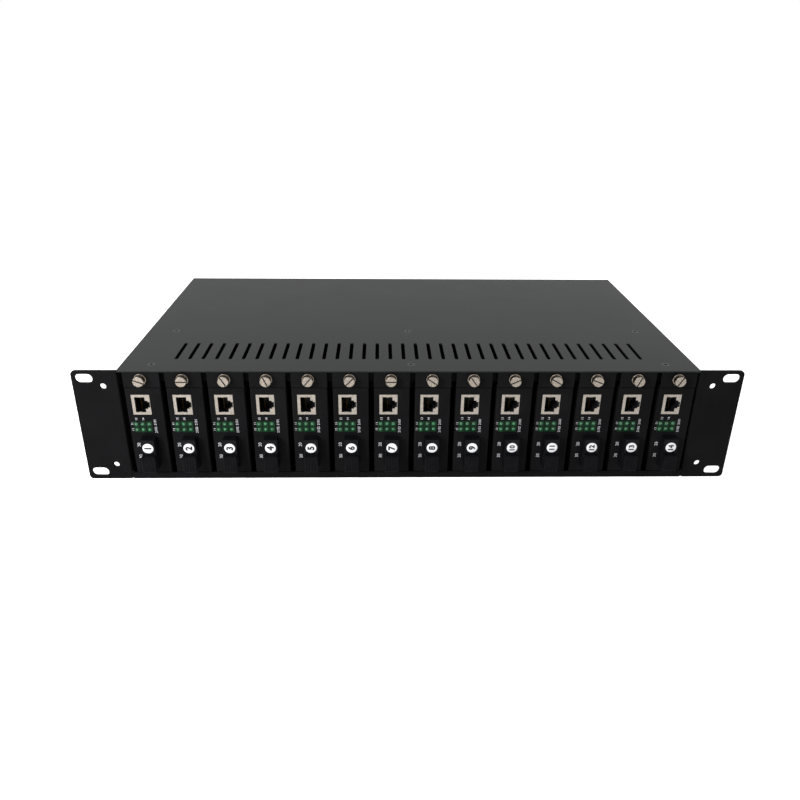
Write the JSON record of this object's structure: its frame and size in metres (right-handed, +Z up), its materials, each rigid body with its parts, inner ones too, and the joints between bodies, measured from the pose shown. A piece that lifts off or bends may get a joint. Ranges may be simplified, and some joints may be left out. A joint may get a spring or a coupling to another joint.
{
  "type": "media converter chassis",
  "caption": "Flat rack-mount metal box with ears; slim plug-in converter modules stand side by side in its open front, each held by a thumbscrew.",
  "frame": {"origin": "centre of the four rack slots, on the back face of the ears, which seats on the rack posts", "axes": "+Z up, +Y from the front to the back, +X to the right across the rack"},
  "size_m": [0.4826, 0.2569, 0.0882],
  "materials": {
    "black_sheet": "matt black powder coat on folded steel sheet",
    "cover_sheet": "matt dark grey powder coat on folded steel sheet",
    "black_screw": "black zinc plated steel",
    "zinc_steel": "zinc plated steel",
    "circuit_board": "green solder mask on glass epoxy board",
    "black_plastic": "moulded black plastic",
    "supply_case": "mill finish sheet",
    "rocker_plastic": "glossy moulded black plastic",
    "wire_jacket": "soft plastic wire covering",
    "converter_case": "fine black powder coat on steel sheet",
    "nickel_shield": "bright nickel plated sheet",
    "socket_plastic": "moulded black plastic",
    "green_lens": "tinted clear plastic",
    "module_plastic": "moulded black plastic",
    "cap_plastic": "soft moulded black plastic",
    "nickel_screw": "bright nickel plated steel"
  },
  "bodies": {
    "chassis": {"base_tray": "black_sheet", "top_cover": "cover_sheet", "cover_screws": "black_screw", "rack_ear_left": "black_sheet", "rack_ear_right": "black_sheet", "panel_screws": "black_screw", "front_rail": "black_sheet", "press_nuts": "zinc_steel", "lower_guide": "black_sheet", "upper_guide": "black_sheet", "backplane_board": "circuit_board", "backplane_plugs": "black_plastic", "rear_panel": "black_sheet", "power_supply_a": "supply_case", "power_supply_b": "supply_case", "power_inlets": "black_plastic", "fan_frames": "black_plastic", "wiring": "wire_jacket"},
    "rocker_a": {"rocker_a": "rocker_plastic"},
    "fan_rotor_a": {"fan_rotor_a": "black_plastic"},
    "rocker_b": {"rocker_b": "rocker_plastic"},
    "fan_rotor_b": {"fan_rotor_b": "black_plastic"},
    "converter_01": {"converter_01_base": "converter_case", "converter_01_cover": "converter_case", "converter_01_board": "circuit_board", "converter_01_shield": "nickel_shield", "converter_01_insert": "socket_plastic", "converter_01_leds": "green_lens", "converter_01_module": "module_plastic", "converter_01_bracket": "converter_case", "converter_01_power_jack": "socket_plastic", "converter_01_screws": "zinc_steel"},
    "thumbscrew_01": {"thumbscrew_01": "nickel_screw"},
    "converter_02": {"converter_02": "converter_case"},
    "thumbscrew_02": {"thumbscrew_02": "nickel_screw"},
    "converter_03": {"converter_03": "converter_case"},
    "thumbscrew_03": {"thumbscrew_03": "nickel_screw"},
    "converter_04": {"converter_04": "converter_case"},
    "thumbscrew_04": {"thumbscrew_04": "nickel_screw"},
    "converter_05": {"converter_05": "converter_case"},
    "thumbscrew_05": {"thumbscrew_05": "nickel_screw"},
    "converter_06": {"converter_06": "converter_case"},
    "thumbscrew_06": {"thumbscrew_06": "nickel_screw"},
    "converter_07": {"converter_07": "converter_case"},
    "thumbscrew_07": {"thumbscrew_07": "nickel_screw"},
    "converter_08": {"converter_08": "converter_case"},
    "thumbscrew_08": {"thumbscrew_08": "nickel_screw"},
    "converter_09": {"converter_09": "converter_case"},
    "thumbscrew_09": {"thumbscrew_09": "nickel_screw"},
    "converter_10": {"converter_10": "converter_case"},
    "thumbscrew_10": {"thumbscrew_10": "nickel_screw"},
    "converter_11": {"converter_11": "converter_case"},
    "thumbscrew_11": {"thumbscrew_11": "nickel_screw"},
    "converter_12": {"converter_12": "converter_case"},
    "thumbscrew_12": {"thumbscrew_12": "nickel_screw"},
    "converter_13": {"converter_13": "converter_case"},
    "thumbscrew_13": {"thumbscrew_13": "nickel_screw"},
    "converter_14": {"converter_14": "converter_case"},
    "thumbscrew_14": {"thumbscrew_14": "nickel_screw"},
    "dust_cap_01": {"converter_01_dust_cap": "cap_plastic"}
  },
  "joints": [
    {"name": "rocker_a_tilt", "type": "hinge", "parent": "chassis", "child": "rocker_a", "pos_m": [-0.065, 0.2365, 0], "axis": [1, 0, 0], "range_deg": [0, 16]},
    {"name": "fan_a_spin", "type": "hinge", "parent": "chassis", "child": "fan_rotor_a", "pos_m": [-0.027, 0.22925, 0], "axis": [0, 1, 0], "continuous": true},
    {"name": "rocker_b_tilt", "type": "hinge", "parent": "chassis", "child": "rocker_b", "pos_m": [0.095, 0.2365, 0], "axis": [1, 0, 0], "range_deg": [0, 16]},
    {"name": "fan_b_spin", "type": "hinge", "parent": "chassis", "child": "fan_rotor_b", "pos_m": [0.027, 0.22925, 0], "axis": [0, 1, 0], "continuous": true},
    {"name": "converter_01_slide", "type": "slide", "parent": "chassis", "child": "converter_01", "axis": [0, -1, 0], "range_m": [0, 0.105]},
    {"name": "thumbscrew_01_turn", "type": "hinge", "parent": "converter_01", "child": "thumbscrew_01", "pos_m": [-0.19299, -0.002, 0.03755], "axis": [0, 1, 0], "continuous": true},
    {"name": "converter_02_slide", "type": "slide", "parent": "chassis", "child": "converter_02", "axis": [0, -1, 0], "range_m": [0, 0.105]},
    {"name": "thumbscrew_02_turn", "type": "hinge", "parent": "converter_02", "child": "thumbscrew_02", "pos_m": [-0.16326, -0.002, 0.03755], "axis": [0, 1, 0], "continuous": true},
    {"name": "converter_03_slide", "type": "slide", "parent": "chassis", "child": "converter_03", "axis": [0, -1, 0], "range_m": [0, 0.105]},
    {"name": "thumbscrew_03_turn", "type": "hinge", "parent": "converter_03", "child": "thumbscrew_03", "pos_m": [-0.13353, -0.002, 0.03755], "axis": [0, 1, 0], "continuous": true},
    {"name": "converter_04_slide", "type": "slide", "parent": "chassis", "child": "converter_04", "axis": [0, -1, 0], "range_m": [0, 0.105]},
    {"name": "thumbscrew_04_turn", "type": "hinge", "parent": "converter_04", "child": "thumbscrew_04", "pos_m": [-0.1038, -0.002, 0.03755], "axis": [0, 1, 0], "continuous": true},
    {"name": "converter_05_slide", "type": "slide", "parent": "chassis", "child": "converter_05", "axis": [0, -1, 0], "range_m": [0, 0.105]},
    {"name": "thumbscrew_05_turn", "type": "hinge", "parent": "converter_05", "child": "thumbscrew_05", "pos_m": [-0.07408, -0.002, 0.03755], "axis": [0, 1, 0], "continuous": true},
    {"name": "converter_06_slide", "type": "slide", "parent": "chassis", "child": "converter_06", "axis": [0, -1, 0], "range_m": [0, 0.105]},
    {"name": "thumbscrew_06_turn", "type": "hinge", "parent": "converter_06", "child": "thumbscrew_06", "pos_m": [-0.04435, -0.002, 0.03755], "axis": [0, 1, 0], "continuous": true},
    {"name": "converter_07_slide", "type": "slide", "parent": "chassis", "child": "converter_07", "axis": [0, -1, 0], "range_m": [0, 0.105]},
    {"name": "thumbscrew_07_turn", "type": "hinge", "parent": "converter_07", "child": "thumbscrew_07", "pos_m": [-0.01461, -0.002, 0.03755], "axis": [0, 1, 0], "continuous": true},
    {"name": "converter_08_slide", "type": "slide", "parent": "chassis", "child": "converter_08", "axis": [0, -1, 0], "range_m": [0, 0.105]},
    {"name": "thumbscrew_08_turn", "type": "hinge", "parent": "converter_08", "child": "thumbscrew_08", "pos_m": [0.01511, -0.002, 0.03755], "axis": [0, 1, 0], "continuous": true},
    {"name": "converter_09_slide", "type": "slide", "parent": "chassis", "child": "converter_09", "axis": [0, -1, 0], "range_m": [0, 0.105]},
    {"name": "thumbscrew_09_turn", "type": "hinge", "parent": "converter_09", "child": "thumbscrew_09", "pos_m": [0.04485, -0.002, 0.03755], "axis": [0, 1, 0], "continuous": true},
    {"name": "converter_10_slide", "type": "slide", "parent": "chassis", "child": "converter_10", "axis": [0, -1, 0], "range_m": [0, 0.105]},
    {"name": "thumbscrew_10_turn", "type": "hinge", "parent": "converter_10", "child": "thumbscrew_10", "pos_m": [0.07458, -0.002, 0.03755], "axis": [0, 1, 0], "continuous": true},
    {"name": "converter_11_slide", "type": "slide", "parent": "chassis", "child": "converter_11", "axis": [0, -1, 0], "range_m": [0, 0.105]},
    {"name": "thumbscrew_11_turn", "type": "hinge", "parent": "converter_11", "child": "thumbscrew_11", "pos_m": [0.1043, -0.002, 0.03755], "axis": [0, 1, 0], "continuous": true},
    {"name": "converter_12_slide", "type": "slide", "parent": "chassis", "child": "converter_12", "axis": [0, -1, 0], "range_m": [0, 0.105]},
    {"name": "thumbscrew_12_turn", "type": "hinge", "parent": "converter_12", "child": "thumbscrew_12", "pos_m": [0.13403, -0.002, 0.03755], "axis": [0, 1, 0], "continuous": true},
    {"name": "converter_13_slide", "type": "slide", "parent": "chassis", "child": "converter_13", "axis": [0, -1, 0], "range_m": [0, 0.105]},
    {"name": "thumbscrew_13_turn", "type": "hinge", "parent": "converter_13", "child": "thumbscrew_13", "pos_m": [0.16376, -0.002, 0.03755], "axis": [0, 1, 0], "continuous": true},
    {"name": "converter_14_slide", "type": "slide", "parent": "chassis", "child": "converter_14", "axis": [0, -1, 0], "range_m": [0, 0.105]},
    {"name": "thumbscrew_14_turn", "type": "hinge", "parent": "converter_14", "child": "thumbscrew_14", "pos_m": [0.1935, -0.002, 0.03755], "axis": [0, 1, 0], "continuous": true},
    {"name": "dust_cap_01_pull", "type": "slide", "parent": "converter_01", "child": "dust_cap_01", "axis": [0, -1, 0], "range_m": [0, 0.012]}
  ]
}
